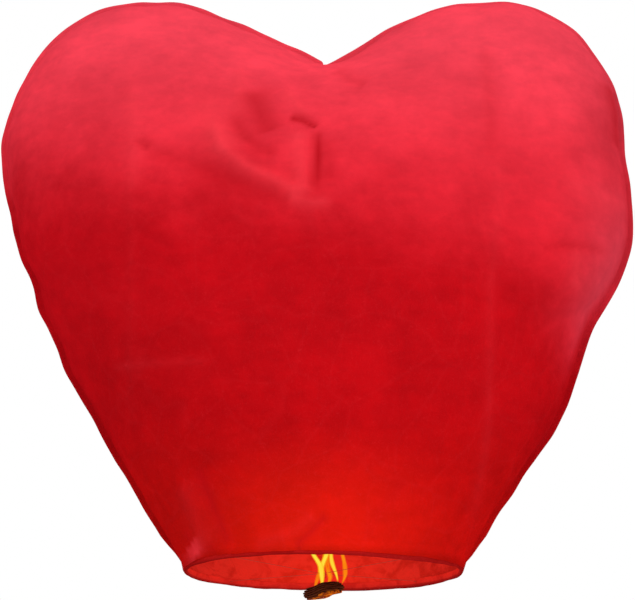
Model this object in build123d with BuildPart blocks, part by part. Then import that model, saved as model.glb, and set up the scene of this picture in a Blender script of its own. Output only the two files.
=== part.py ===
"""Heart-shaped paper sky lantern, in millimetres, +Z up.

The origin is at the centre of the mouth, on the underside of the rim. X runs across the heart,
and Y runs from the front face (-Y) to the back face (+Y). The seam of the heart lies at Y = 0.
"""

import os
from math import cos, degrees, radians, sin, sqrt

from build123d import *

os.makedirs("parts", exist_ok=True)

# ---------------------------------------------------------------------------------- driving sizes
paper = 0.8  # a stand-in for thin tissue paper
lay_gap = 0.25  # between a fold of paper and what it is folded round
wire_gap = 0.1  # between a wire and what it is wound round

hoop_diameter = 380.0  # outside of the bamboo hoop
hoop_thick = 3.0  # bamboo strip, measured outwards
hoop_height = 7.0  # bamboo strip, measured upwards
notch_depth = 0.8  # shallow nicks that the wires and bindings lie in
lap_length = 24.0  # the strip's two halved ends lie side by side over this
lap_gap = 0.2
binding_width = 4.0

cross_wire_diameter = 0.7
wire_bend = 0.6  # radius of the bends round the hoop
wire_tail = 6.0
wire_spacing = 0.9  # between the wire and its own tail where both leave the hoop
crossing_height = -2.0  # middle of the crossing, below the rim's underside
crossing_gap = 0.1  # between the two wires where they cross
crossing_bend = 14.0

link_wire = 0.9
link_bend = 2.3  # inside radius of the link's ends
link_straight = 2.4
hang_gap = 0.25  # between a link and what it hangs on

cell_wire_diameter = 1.0
eye_inside = 1.6
eye_sink = 0.3  # the stem runs this far into the closed end of the eye
cell_foot = 13.0  # the wire's end, bent flat under the pad

pad_side = 47.0
pad_corner = 9.0
layer_thick = 2.6
layer_count = 6
pad_middle_height = -25.0  # middle of the pad
pad_tilt = 13.0  # degrees, the left side low
pad_turn = 45.0  # degrees about the wire, one corner forward
pad_hole_gap = 0.2
layer_turn = 4.0  # degrees that each layer is turned from the one below

seam_margin = 8.0  # glued edges of the two panels, standing out round the heart
margin_run_in = 45.0  # height over which the margin grows from nothing at the rim

shoulder_half_width = 438.0  # seam to the middle line, at the heart's widest
shoulder_height = 588.0
lower_taper = (265.0, 130.0)  # half width and height
upper_taper = (369.0, 330.0)
outer_lobe = (381.0, 762.0)
lobe_top = (240.0, 820.0)
inner_lobe = (128.0, 793.0)
notch_height = 727.0

belly_depth = 240.0  # face to the seam plane, at the fullest
belly_height = 290.0
lower_belly = (226.0, 130.0)  # half depth and height
upper_belly = (229.0, 430.0)
high_belly = (187.0, 570.0)
under_notch = (108.0, 678.0)

row_count = 18  # loops that the envelope is drawn through
row_points = 24

# ------------------------------------------------------------------------------------ derived sizes
hoop_outer = hoop_diameter / 2
hoop_inner = hoop_outer - hoop_thick
hoop_mid = hoop_outer - hoop_thick / 2
hoop_low = paper + lay_gap
hoop_top = hoop_low + hoop_height
hoop_middle = (hoop_low + hoop_top) / 2
core_thick = hoop_thick - 2 * notch_depth
core_height = hoop_height - 2 * notch_depth
rim_outer = hoop_outer + lay_gap + paper
rim_inner = hoop_inner - lay_gap - paper
rim_height = hoop_top + lay_gap + paper

wire_angles = [45.0, 135.0]
wire_ends = wire_angles + [angle + 180 for angle in wire_angles]
cross_radius = cross_wire_diameter / 2
wire_loop_gap = wire_gap + cross_radius  # from the nicked core of the hoop to the middle of a wire
slot_height = wire_spacing + cross_wire_diameter + 2 * lay_gap
slot_width = cross_wire_diameter + 2 * lay_gap
wire_nick = cross_wire_diameter + 2 * wire_gap
binding_nick = binding_width + 2 * wire_gap
binding_step = degrees(lap_length / 4 / hoop_mid)
binding_angles = [90 - binding_step, 90 + binding_step]
crossing_step = cross_wire_diameter + crossing_gap

cell_radius = cell_wire_diameter / 2
link_mid_radius = link_bend + link_wire / 2
link_inside_top = crossing_height + crossing_step / 2 + cross_radius + hang_gap
link_high_bend = link_inside_top - link_bend
link_low_bend = link_high_bend - link_straight
eye_middle = link_low_bend - link_bend + hang_gap - eye_inside
pad_half = layer_count * layer_thick / 2 / cos(radians(pad_tilt))  # upright, at the wire
foot_height = pad_middle_height - pad_half - hang_gap - cell_radius


def loop_plane(angle):
    """Plane across the hoop at an angle: its x runs outwards and its y runs up."""
    outward = (cos(radians(angle)), sin(radians(angle)), 0)
    along = (sin(radians(angle)), -cos(radians(angle)), 0)
    middle = (hoop_outer + hoop_inner) / 2
    origin = (middle * outward[0], middle * outward[1], hoop_middle)
    return Plane(origin=origin, x_dir=outward, z_dir=along)


# ------------------------------------------------------------------------------------- the envelope
with BuildLine() as seam_line:
    seam_curve = Spline(
        (rim_outer, rim_height),
        lower_taper,
        upper_taper,
        (shoulder_half_width, shoulder_height),
        outer_lobe,
        lobe_top,
        inner_lobe,
        (0, notch_height),
    )

with BuildLine() as middle_line:
    middle_curve = Spline(
        (rim_outer, rim_height),
        lower_belly,
        (belly_depth, belly_height),
        upper_belly,
        high_belly,
        under_notch,
        (0, notch_height),
    )


def set_in(curve, share, depth):
    """Point on a half outline, moved inwards by a depth (outwards if the depth is negative)."""
    point = curve @ share
    run = curve % share
    return Vector(point.X - depth * run.Y, point.Y + depth * run.X)


def closed_loop(points):
    """Smooth closed wire through points that are evenly spaced in parameter."""
    steps = [step / len(points) for step in range(len(points) + 1)]
    return Wire([Edge.make_spline(points, periodic=True, parameters=steps)])


def envelope_row(share, depth):
    """Closed loop round the lantern, the same share of the way up the seam and the middle."""
    side = set_in(seam_curve, share, depth)
    face = set_in(middle_curve, share, depth)
    points = []
    for step in range(row_points):
        turn = radians(360 * step / row_points)
        height = face.Y + (side.Y - face.Y) * sin(turn) ** 2
        points.append((side.X * sin(turn), -face.X * cos(turn), height))
    return closed_loop(points)


def envelope_body(depth):
    """The whole inflated shape, closed across the mouth, set in by a depth all over."""
    mouth = []
    for step in range(row_points):
        turn = radians(360 * step / row_points)
        reach = rim_outer - depth
        mouth.append((reach * sin(turn), -reach * cos(turn), rim_height))
    rows = [closed_loop(mouth)]
    for number in range(1, row_count):
        rows.append(envelope_row(number / row_count, depth))
    tip = Vertex(0, 0, notch_height - depth / abs((seam_curve % 1).X))
    return Solid.make_loft(rows + [tip])


def margin_outline():
    """Flat shape in the seam plane, out to the edge of the glued margins."""
    edge = []
    for number in range(row_count):
        share = number / row_count
        height = (seam_curve @ share).Y - rim_height
        width = seam_margin * min(1.0, height / margin_run_in)
        point = set_in(seam_curve, share, -width)
        edge.append((point.X, point.Y))
    edge.append((0, notch_height + seam_margin / abs((seam_curve % 1).X)))
    with BuildSketch(Plane.XZ) as outline:
        with BuildLine():
            side = Spline(*edge)
            Polyline(side @ 1, (0, rim_height), side @ 0)
        make_face()
        mirror(about=Plane.YZ)
    return outline.sketch


# One face of the envelope, with its half of the margin that is glued round the seam.
with BuildPart() as hollow:
    add(envelope_body(paper))
    split(bisect_by=Plane.XZ, keep=Keep.TOP)

with BuildPart() as front_panel:
    add(envelope_body(0))
    split(bisect_by=Plane.XZ, keep=Keep.TOP)
    extrude(margin_outline(), amount=paper)
    add(hollow.part, mode=Mode.SUBTRACT)
front_panel.part.label = "front_panel"

with BuildPart() as back_panel:
    mirror(front_panel.part, about=Plane.XZ)
back_panel.part.label = "back_panel"


# ------------------------------------------------------------------------------ the rim and its hoop
# A strip of paper folded right round the hoop, with a slot where each wire comes through.
with BuildPart() as rim_band:
    with BuildSketch(Plane.XZ):
        with Locations(((rim_outer + rim_inner) / 2, rim_height / 2)):
            Rectangle(rim_outer - rim_inner, rim_height)
            Rectangle(rim_outer - rim_inner - 2 * paper, rim_height - 2 * paper, mode=Mode.SUBTRACT)
    revolve(axis=Axis.Z)
    for angle in wire_ends:
        with BuildSketch(loop_plane(angle)):
            with Locations((rim_inner + paper / 2 - hoop_mid, 0)):
                Rectangle(2 * paper, slot_height)
        extrude(amount=slot_width / 2, both=True, mode=Mode.SUBTRACT)
rim_band.part.label = "rim_band"


def nick_section(angle):
    """Section of a nick right round the bamboo, for a wire or a binding to lie in."""
    with BuildSketch(loop_plane(angle)) as section:
        Rectangle(hoop_thick + 1, hoop_height + 1)
        Rectangle(core_thick, core_height, mode=Mode.SUBTRACT)
    return section.sketch


with BuildPart() as bamboo_hoop:
    with BuildSketch(Plane.XY.offset(hoop_low)):
        Circle(hoop_outer)
        Circle(hoop_inner, mode=Mode.SUBTRACT)
    extrude(amount=hoop_height)
    # The two ends of the strip are halved and lie one outside the other, at the back.
    lap_end = sqrt(hoop_mid**2 - (lap_length / 2) ** 2)
    with BuildSketch(Plane.XY.offset(hoop_low)):
        Circle(hoop_mid + lap_gap / 2)
        Circle(hoop_mid - lap_gap / 2, mode=Mode.SUBTRACT)
        with Locations((0, hoop_mid)):
            Rectangle(lap_length, 2 * hoop_thick, mode=Mode.INTERSECT)
        with Locations((-lap_length / 2, lap_end + hoop_thick / 2)):
            Rectangle(lap_gap, hoop_thick)
        with Locations((lap_length / 2, lap_end - hoop_thick / 2)):
            Rectangle(lap_gap, hoop_thick)
    extrude(amount=hoop_height, mode=Mode.SUBTRACT)
    for angle in wire_ends:
        extrude(nick_section(angle), amount=wire_nick / 2, both=True, mode=Mode.SUBTRACT)
    for angle in binding_angles:
        extrude(nick_section(angle), amount=binding_nick / 2, both=True, mode=Mode.SUBTRACT)
bamboo_hoop.part.label = "bamboo_hoop"

# Thread wound round the lap, flush with the bamboo.
with BuildPart() as hoop_bindings:
    for angle in binding_angles:
        with BuildSketch(loop_plane(angle)):
            Rectangle(hoop_thick, hoop_height)
            Rectangle(core_thick + 2 * wire_gap, core_height + 2 * wire_gap, mode=Mode.SUBTRACT)
        extrude(amount=binding_width / 2, both=True)
hoop_bindings.part.label = "hoop_bindings"


# --------------------------------------------------------------------------------- the crossed wires
def wire_half():
    """Corners of half a cross wire, from its tail round the hoop and in to the middle."""
    inside = hoop_mid - core_thick / 2 - wire_loop_gap
    outside = hoop_mid + core_thick / 2 + wire_loop_gap
    below = hoop_middle - core_height / 2 - wire_loop_gap
    above = hoop_middle + core_height / 2 + wire_loop_gap
    return [
        (inside - wire_tail, hoop_middle - wire_spacing / 2),
        (inside, hoop_middle - wire_spacing / 2),
        (inside, below),
        (outside, below),
        (outside, above),
        (inside, above),
        (inside, hoop_middle + wire_spacing / 2),
    ]


def cross_wire(angle, middle):
    """One wire across the mouth, each end wound once round the hoop."""
    half = wire_half()
    far_half = [(-x, z) for x, z in reversed(half)]
    corners = half + [(0, middle)] + far_half
    bends = [wire_bend] * len(half) + [crossing_bend] + [wire_bend] * len(half)
    across = Plane(
        origin=(0, 0, 0),
        x_dir=(cos(radians(angle)), sin(radians(angle)), 0),
        z_dir=(sin(radians(angle)), -cos(radians(angle)), 0),
    )
    with BuildPart() as wire:
        with BuildLine(across) as run:
            FilletPolyline(*corners, radius=bends[1:-1])
        with BuildSketch(Plane(origin=run.line @ 0, z_dir=run.line % 0)):
            Circle(cross_radius)
        sweep()
    return wire.part


cross_wire_a = cross_wire(wire_angles[0], crossing_height - crossing_step / 2)
cross_wire_b = cross_wire(wire_angles[1], crossing_height + crossing_step / 2)
cross_wire_a.label = "cross_wire_a"
cross_wire_b.label = "cross_wire_b"

# ------------------------------------------------------------------------- the link and the fuel pad
with BuildPart() as hanging_link:
    with BuildLine(Plane.XZ) as link_run:
        right = Line((link_mid_radius, link_low_bend), (link_mid_radius, link_high_bend))
        over = TangentArc(right @ 1, (-link_mid_radius, link_high_bend), tangent=right % 1)
        left = Line(over @ 1, (-link_mid_radius, link_low_bend))
        TangentArc(left @ 1, right @ 0, tangent=left % 1)
    with BuildSketch(Plane(origin=right @ 0, z_dir=right % 0)):
        Circle(link_wire / 2)
    sweep()
hanging_link.part.label = "hanging_link"

with BuildPart() as cell_wire:
    with BuildLine(Plane.YZ) as stem_run:
        FilletPolyline(
            (0, eye_middle - eye_inside - cell_wire_diameter + eye_sink),
            (0, foot_height),
            (cell_foot, foot_height),
            radius=hang_gap + cell_radius,
        )
    with BuildSketch(Plane(origin=stem_run.line @ 0, z_dir=stem_run.line % 0)):
        Circle(cell_radius)
    sweep()
    with BuildSketch(Plane.XY.offset(eye_middle)):
        with Locations((0, eye_inside + cell_radius)):
            Circle(cell_radius)
    revolve(axis=Axis((0, 0, eye_middle), (1, 0, 0)))
cell_wire.part.label = "cell_wire"


def fuel_layer(number):
    """One square of waxed paper in the tilted pile, with the wire's hole upright through it."""
    height = (number - layer_count / 2) * layer_thick
    turn = pad_turn + layer_turn * (1 if number % 2 else -1)
    pile = Plane(
        origin=(0, 0, pad_middle_height),
        x_dir=(cos(radians(pad_tilt)), 0, sin(radians(pad_tilt))),
        z_dir=(-sin(radians(pad_tilt)), 0, cos(radians(pad_tilt))),
    )
    with BuildPart() as layer:
        with BuildSketch(pile.offset(height)):
            RectangleRounded(pad_side, pad_side, pad_corner, rotation=turn)
        extrude(amount=layer_thick)
        with BuildSketch(Plane.XY.offset(pad_middle_height)):
            Circle(cell_radius + pad_hole_gap)
        extrude(amount=layer_count * layer_thick, both=True, mode=Mode.SUBTRACT)
    return layer.part


pieces = [
    front_panel.part,
    back_panel.part,
    rim_band.part,
    bamboo_hoop.part,
    hoop_bindings.part,
    cross_wire_a,
    cross_wire_b,
    hanging_link.part,
    cell_wire.part,
]
for number in range(layer_count):
    layer = fuel_layer(number)
    layer.label = f"fuel_layer_{number + 1}"
    pieces.append(layer)

for piece in pieces:
    export_step(piece, f"parts/{piece.label}.step")
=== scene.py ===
"""A heart-shaped paper sky lantern, lit, with its bamboo hoop, crossed wires and burning wax pad."""
from math import atan2, cos, degrees, pi, radians, sin

import bpy
import numpy as np
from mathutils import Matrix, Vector

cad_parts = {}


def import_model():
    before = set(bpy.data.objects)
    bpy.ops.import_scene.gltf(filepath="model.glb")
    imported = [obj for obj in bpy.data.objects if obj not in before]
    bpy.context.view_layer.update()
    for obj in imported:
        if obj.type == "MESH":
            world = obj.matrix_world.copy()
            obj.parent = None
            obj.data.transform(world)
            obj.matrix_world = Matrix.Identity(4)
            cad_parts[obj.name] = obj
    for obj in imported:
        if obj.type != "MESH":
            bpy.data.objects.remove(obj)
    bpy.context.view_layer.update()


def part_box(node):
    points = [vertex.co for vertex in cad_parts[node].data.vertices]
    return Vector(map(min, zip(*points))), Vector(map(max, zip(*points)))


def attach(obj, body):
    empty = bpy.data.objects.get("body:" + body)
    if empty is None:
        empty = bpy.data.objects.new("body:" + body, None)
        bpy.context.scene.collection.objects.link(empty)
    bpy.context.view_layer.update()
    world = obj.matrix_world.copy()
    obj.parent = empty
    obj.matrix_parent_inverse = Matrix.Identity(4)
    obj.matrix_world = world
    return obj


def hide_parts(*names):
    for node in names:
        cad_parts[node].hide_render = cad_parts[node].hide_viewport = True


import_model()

MM = 0.001

# ---- driving sizes
_, rim_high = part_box("rim_band")
RIM_OUTER = rim_high.x
RIM_HEIGHT = rim_high.z
RIM_THICK = 5.1 * MM
RIM_INNER = RIM_OUTER - RIM_THICK

PAPER = 0.4 * MM  # thickness that the sheets are given
SHEET_STEP = 0.5 * MM  # each face lies this far from the seam's plane
MARGIN = 8.5 * MM  # glued edges, standing out round the heart
MARGIN_RUN_IN = 45 * MM
MARGIN_INSET = -5 * MM  # stands for the whole margin where distance from the seam is kept
WELD = 0.02 * MM  # points nearer than this are made one

# The seam round one side of the heart, as distance from the middle and height.
SEAM = [
    (RIM_OUTER, RIM_HEIGHT), (0.265, 0.130), (0.369, 0.330), (0.438, 0.588), (0.381, 0.762),
    (0.240, 0.820), (0.128, 0.793), (0.0, 0.727),
]
# The middle line of one face, as distance from the seam's plane and height.
MIDDLE = [
    (RIM_OUTER, RIM_HEIGHT), (0.226, 0.130), (0.240, 0.290), (0.229, 0.430), (0.187, 0.570),
    (0.108, 0.678), (0.0, 0.727),
]

# How far the faces come down over the rim: share of the way across, from -1 to 1, and mm.
FRONT_LAP = [
    (-1, 7.5), (-0.93, 6), (-0.82, 3.2), (-0.53, 5.4), (0, 6.2), (0.41, 7.8), (0.84, 7.8), (1, 7.5),
]
BACK_LAP = [(-1, 7.5), (-0.85, 5), (0.85, 5), (1, 7.5)]
LAP_WAVES = 11
LAP_WAVER = 0.5 * MM
RIM_CLEAR = 1.0 * MM
# Creases that run in from the seam: distance between them and reach in metres, and height in mm.
PUCKERS = [(0.024, 0.022, 1.3), (0.047, 0.055, 2.6), (0.094, 0.120, 4.2), (0.190, 0.220, 5.0)]
PUCKER_LEAN = 0.25
# Gathers where a face meets the rim: how many to a radian, their height, reach and run-in.
GATHERS = [(7, 3.0 * MM, 75 * MM, 20 * MM), (19, 1.5 * MM, 38 * MM, 8 * MM)]
# Unevenness of a slack sheet: its size in metres and depth in mm.
SLACK = [(0.22, 4.0), (0.085, 1.8), (0.034, 0.5)]
# The seam's own small waves: their length, and how far they go outwards and to the front and back.
SCALLOP = (0.045, 1.6 * MM)
FLUTTER = [(0.045, 2.2 * MM), (0.12, 4.0 * MM)]
FLUTTER_REACH = 50 * MM
FRILL = (0.03, 0.12)  # unevenness of the glued edges' width: its length and share
EDGE_WAVE = (0.028, 1.2 * MM)

RIM_TURNS = 480  # steps round the rim's strip of paper
RIM_CORNER = 1.2 * MM
RIM_GATHER = 0.35 * MM  # how far the strip's gathers stand out
RIM_DENT = 0.2 * MM
# Where the strip's fold hangs down: direction and width in degrees, and how far.
RIM_DROOPS = [(305, 32, 4.0 * MM), (50, 30, 2.4 * MM)]
RIM_RAGGED = 1.5 * MM
RIM_FRAYED = 0.8 * MM
WIRE_ANGLES = (45, 135, 225, 315)  # degrees
SLIT_LOW, SLIT_HIGH = 3.5 * MM, 5.6 * MM
SLIT_WIDE = 1.3 * MM
NEAR = 0.1 * MM  # slack when points are looked up by their place

PAD_MIDDLE = -25.0 * MM
PAD_TILT = radians(13)  # the left side low
PAD_SIDE = 47.0 * MM
PAD_CORNER = 9.0 * MM
PAD_TURN = 45.0  # degrees
LAYER_TURN = 4.0  # degrees, one way and the other by turns
LAYER_THICK = 2.6 * MM
LAYER_GAP = 0.05 * MM
PAD_HOLE = 0.8 * MM
# How much of each layer the fire has left, from the lowest to the highest.
LAYER_LEFT = [0.86, 0.95, 1.0, 0.98, 0.92, 0.80]
BURNT_AWAY = 0.8 * MM
PAD_SWELL = (14 * MM, 0.9 * MM)  # swells that every layer follows: their size and height
PAD_CURL = 0.16 * MM  # how much further up each layer's edge curls than the one's below it
PAD_ROUGH = (2.2 * MM, 0.12 * MM)  # unevenness of each layer by itself: its size and height
# Raggedness of a layer's edge: waves round it, their height in mm, seed, and its step by layer.
LAYER_RAGGED = [(9, 1.0, 500, 0), (13, 0.5, 505, 1), (31, 0.35, 510, 1), (70, 0.15, 520, 1)]

# Tongues of flame: half its width at its thickest in mm, its warmth, from 0 orange to 1 yellow, how
# far it is flattened, and points up its middle in mm.
FLAMES = [
    (4.2, 1.0, 0.7, [(-2, -7, -22), (-2, -7, -8), (-3, -7, 1), (-4, -7, 9), (-9, -6, 16), (-16, -4, 27),
                     (-19, -2, 44), (-15, 1, 66)]),
    (3.6, 0.95, 0.7, [(-2, -6, -20), (-2, -6, -4), (-3, -6, 7), (1, -5, 16), (5, -4, 26), (9, -3, 48),
                      (4, -3, 84)]),
    (3.0, 0.85, 0.7, [(20, -4, -16), (18, -4, -4), (14, -5, 5), (11, -5, 14), (10, -4, 26), (9, -2, 46),
                      (12, 3, 70)]),
    (3.4, 0.22, 0.6, [(24, 0, -18), (29, 0, -8), (30, 0, -1), (29, 1, 12), (26, 2, 25), (20, 3, 44),
                      (20, 1, 58)]),
    (5.0, 0.1, 0.5, [(8, 7, -18), (10, 7, -4), (5, 8, 8), (3, 9, 30), (0, 5, 60), (3, 2, 96)]),
    (3.2, 0.15, 0.5, [(-12, -4, -22), (-9, -4, -12), (-6, -3, 0), (-7, -2, 12)]),
    (3.0, 0.25, 0.5, [(6, -6, -20), (9, -6, -8), (5, -6, 4), (6, -4, 16)]),
]
FLAME_SHELLS = [(1.0, 0.0), (0.62, 1.0)]  # width and warmth of the mantle and of the core in it
FLICKER = 0.16  # unevenness of a tongue's width

# Colours, as red, green and blue from 0 to 1. A list is a ramp: each colour's place on it comes first.
UNLIT = (0, 0, 0)
DYE_LOW = [(0, (0.55, 0.005, 0.004)), (0.3, (0.52, 0.0035, 0.0064)), (1, (0.58, 0.0046, 0.0105))]
# Painted light from above: the paper is painted paler higher up. From and to this height, how much
# it rises with each metre to the right and beside the right-hand seam, and the colour.
PAINTED_TOP_LIGHT = [(0.43, 0.64, 0.16, 1, (0.78, 0.023, 0.042)), (0.54, 0.86, 0.04, 1.6, (0.87, 0.062, 0.1))]
CLOUD_SHIFT = 0.14  # how far the dye clouds move those heights up and down
DYE_FIBRE = (0.9, 0.06, 0.08)
# Fold colours: pale with wear and painted highlight on a fold's lit side; darker where the paper lies doubled
# and in painted shade.
WORN_HIGHLIT_TINT = (0.96, 0.06, 0.085)
DOUBLED_SHADED_TINT = (0.6, 0.006, 0.013)
# Painted glow of the flame's light on the paper, as its own emission: near the flame, and further inside.
NEAR_LIGHT = (0.28, 0.008, 0)
INSIDE_LIGHT = (0.44, 0.02, 0.013)
LOOSE_FIBRES = 0.08  # how clearly the loose fibres show
CREASE_NET = 11  # cells of the net of creases to a metre
# The rim's tissue: darker low down, folded tissue with painted shade of the hoop seen through it.
RIM_SHADED_LOW = (0.42, 0.007, 0.007)
RIM_DYE_HIGH = (0.6, 0.0085, 0.007)
RIM_DYE_FIBRE = (0.7, 0.06, 0.05)
# Painted glow of the flame's light on the rim's inside.
RIM_LIGHT = (0.34, 0.013, 0.007)
BAMBOO = [(0.25, (0.3, 0.19, 0.08)), (0.5, (0.56, 0.41, 0.21)), (0.75, (0.7, 0.56, 0.33))]
BAMBOO_DARK = (0.16, 0.09, 0.04)
BAMBOO_NODES = 0.29  # distance between the bamboo's nodes
THREAD_DARK = (0.34, 0.29, 0.21)
THREAD_LIGHT = (0.76, 0.7, 0.57)
THREAD_PLY = (0.5, 0.43, 0.32)
OXIDE = [
    (0.3, (0.04, 0.026, 0.024)), (0.48, (0.085, 0.036, 0.026)), (0.62, (0.15, 0.045, 0.022)),
    (0.8, (0.065, 0.042, 0.036)),
]
WIRE_LIGHT = (0.36, 0.014, 0.007)
WAXED = [(0.3, (0.11, 0.022, 0.006)), (0.5, (0.18, 0.036, 0.009)), (0.72, (0.27, 0.062, 0.016))]
CHARRED = (0.085, 0.019, 0.007)
ASH = (0.16, 0.11, 0.09)
EMBER_BED = (0.03, 0.004, 0.001)
EMBER_DULL = (0.42, 0.04, 0)
EMBER_BRIGHT = (0.9, 0.22, 0.004)
FIRE = [
    (0, (0.95, 0.16, 0.003)), (0.35, (1, 0.36, 0.006)), (0.7, (1, 0.7, 0.025)),
    (1, (1, 0.88, 0.075)),
]

USUAL_NOISE = (0.3, 0.7)  # where nearly all of a noise's values lie
TRANSLUCENCE = 0.28  # share of the light that the tissue lets through
GLOW_HEIGHT = 18 * MM  # middle of the paper that the flame lights up
GLOW_REACH = 155 * MM
GLOW_WIDER = 0.68  # the less, the wider the lit paper is for its height
INSIDE_REACH = 700 * MM

EYE = (-0.0082, -3.5, -0.467)
EYE_LIFT = 13.66  # degrees that the camera looks up
SENSOR = 36  # mm
LENS = 145.389  # mm
SKY_LIGHT = 0.72
FLOOR_HEIGHT = -1.0
# Name, direction it shines from, strength and softness in degrees.
LAMPS = [
    ("key_light", (1.5, -2.2, 2.4), 1.35, 40),
    ("fill_light", (-1.8, -4.0, 0.7), 0.60, 50),
    ("side_light", (3.2, -2.4, 0.1), 0.55, 50),
]

ROWS = 190  # up the lantern, from the rim to the notch
COLUMNS = 170  # across one face, from seam to seam
MARGIN_STEPS = 3

# Folds across a face: a line over it in mm, its height in mm, inwards if negative, its width in mm, and
# how much paler it is with wear and painted highlight, or darker where the paper lies doubled and in painted
# shade. The first ones of each face, long and upright, are left from when the lantern lay flat in its bag.
FRONT_FOLDS = [
    ([(222, 720), (226, 650), (229, 520)], -0.9, 9, -0.22),
    ([(236, 580), (234, 460), (221, 350), (216, 170), (197, 30)], 1.8, 6, 0.12),
    ([(-266, 700), (-258, 530), (-256, 340), (-262, 160)], 1.4, 6, 0.05),
    ([(-262, 660), (-256, 570), (-254, 480)], 0.9, 8, 0.28),
    ([(-46, 599), (-28, 594), (-7, 580)], -4.8, 5, -0.9),
    ([(-9, 580), (-8, 527), (-13, 474)], -5.0, 5, -0.9),
    ([(-34, 580), (-32, 520), (-24, 467)], 5.5, 11, 0.7),
    ([(4, 565), (8, 520), (6, 490)], -2.5, 12, -0.4),
    ([(-157, 600), (-137, 545), (-106, 515), (-65, 493), (-20, 463)], 6.5, 9, 0.8),
    ([(-124, 605), (-108, 566), (-83, 543), (-62, 535)], -4.5, 9, -0.45),
    ([(-100, 650), (-84, 600), (-70, 570)], -5.0, 19, -0.6),
    ([(-114, 690), (-117, 625), (-116, 600)], 3.5, 9, 0.4),
    ([(-168, 630), (-146, 585), (-118, 540)], 1.8, 24, 0.45),
    ([(-50, 468), (-15, 460), (12, 462)], 2.6, 8, 0.55),
    ([(-58, 650), (-31, 610), (-20, 598)], 4.0, 7, 0.6),
    ([(-250, 556), (-185, 532), (-112, 490), (-40, 460)], -4.2, 14, -0.42),
    ([(-252, 568), (-236, 550)], -2.2, 7, -0.5),
    ([(-252, 434), (-195, 398)], -2.4, 6, -0.35),
    ([(-290, 256), (-232, 253), (-140, 248)], 0.8, 5, 0.12),
    ([(-200, 232), (-110, 228)], -1.0, 7, -0.15),
    ([(120, 236), (215, 240)], -1.2, 6, -0.15),
    ([(290, 415), (340, 424), (400, 430)], -2.6, 6, -0.35),
    ([(345, 425), (343, 365)], 1.6, 7, 0.45),
    ([(-178, 26), (-166, 10)], 0.8, 8, 1.0),
    ([(320, 520), (380, 500), (430, 505)], 3.2, 12, 0.3),
    ([(-170, 120), (-145, 62), (-122, 10)], -3.6, 6, -0.45),
    ([(-190, 105), (-165, 50), (-150, 12)], 3.0, 12, 0.12),
    ([(-95, 12), (-45, 24), (-8, 48)], 3.6, 8, 0.12),
    ([(-40, 8), (-16, 26), (6, 50)], -3.2, 5, -0.5),
    ([(50, 12), (70, 50), (110, 100)], -2.0, 9, -0.2),
    ([(16, 695), (36, 670), (62, 655)], -2.5, 12, -0.3),
    ([(56, 634), (90, 612)], 2.6, 10, 0.2),
    ([(400, 690), (413, 640), (420, 590)], -1.2, 14, -0.55),
    ([(-184, 46), (-174, 16)], -1.6, 5, -0.3),
    ([(-168, 34), (-158, 8)], 1.6, 5, 0.3),
    ([(-152, 24), (-142, 6)], -1.5, 5, -0.25),
]
BACK_FOLDS = [
    ([(238, 740), (236, 460), (225, 300), (190, 40)], 1.8, 6, 0.12),
    ([(-262, 750), (-258, 500), (-250, 300)], 1.7, 6, 0.12),
    ([(-238, 220), (-200, 40)], -1.5, 6, -0.3),
    ([(6, 640), (2, 560), (6, 460)], -5.0, 8, -0.7),
    ([(125, 660), (90, 585), (50, 520), (10, 480)], 5.0, 10, 0.5),
    ([(70, 650), (55, 590), (30, 550)], -5.0, 11, -0.5),
    ([(-95, 665), (-80, 600), (-120, 510)], -4.5, 14, -0.4),
    ([(-60, 640), (-50, 560)], 3.2, 9, 0.4),
    ([(-300, 255), (-120, 250), (60, 258)], -1.2, 6, -0.15),
    ([(80, 505), (180, 530), (260, 560)], -3.2, 12, -0.3),
    ([(175, 110), (150, 60), (120, 10)], -3.0, 6, -0.4),
    ([(-80, 12), (-60, 50), (-10, 90)], 2.8, 8, 0.12),
    ([(300, 420), (390, 435)], -2.2, 6, -0.3),
]

# How far the heart's two edges wander from the drawn seam: share of the way up it, and mm outwards.
LEFT_WANDER = [
    (0.0, 0), (0.10, -0.5), (0.19, -2), (0.255, 4.5), (0.285, 0), (0.335, 4.5), (0.365, -2),
    (0.40, 6), (0.45, 1), (0.50, 11), (0.535, 13), (0.56, 8.5), (0.63, 4), (0.67, 5),
    (0.735, 1.5), (0.79, -5.5), (0.817, 0), (0.865, -6), (0.92, -3.5), (1.0, -1),
]
RIGHT_WANDER = [
    (0.0, 0), (0.05, -5), (0.115, -0.5), (0.185, 8.5), (0.25, 1.5), (0.315, -6.5), (0.34, 0),
    (0.39, 8), (0.42, 7), (0.45, 0), (0.485, -9), (0.525, -16.5), (0.56, -11), (0.63, -10.5),
    (0.70, -3), (0.74, 1.5), (0.80, -1), (0.86, 2), (0.91, -2), (0.975, -8), (1.0, -6),
]
WANDER_SOFTENING = [0.05, 0.12, 0.2, 0.26, 0.2, 0.12, 0.05]


# ---- small helpers
def deselect():
    if bpy.context.object and bpy.context.object.mode != "OBJECT":
        bpy.ops.object.mode_set(mode="OBJECT")
    bpy.ops.object.select_all(action="DESELECT")


def only(obj):
    """Selects one object and makes it the active one."""
    deselect()
    obj.select_set(True)
    bpy.context.view_layer.objects.active = obj


def edit(obj, *steps):
    """Runs mesh operators, each a name and its settings, on the whole of an object."""
    only(obj)
    bpy.ops.object.mode_set(mode="EDIT")
    for name, settings in steps:
        bpy.ops.mesh.select_all(action="SELECT")
        getattr(bpy.ops.mesh, name)(**settings)
    bpy.ops.object.mode_set(mode="OBJECT")


def new_piece(name):
    """Names the object that an operator has just made."""
    made = bpy.context.object
    made.name = name
    made.data.name = name
    return made


def places(obj):
    """The mesh's points as an array."""
    found = np.zeros(len(obj.data.vertices) * 3)
    obj.data.vertices.foreach_get("co", found)
    return found.reshape(-1, 3)


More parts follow.
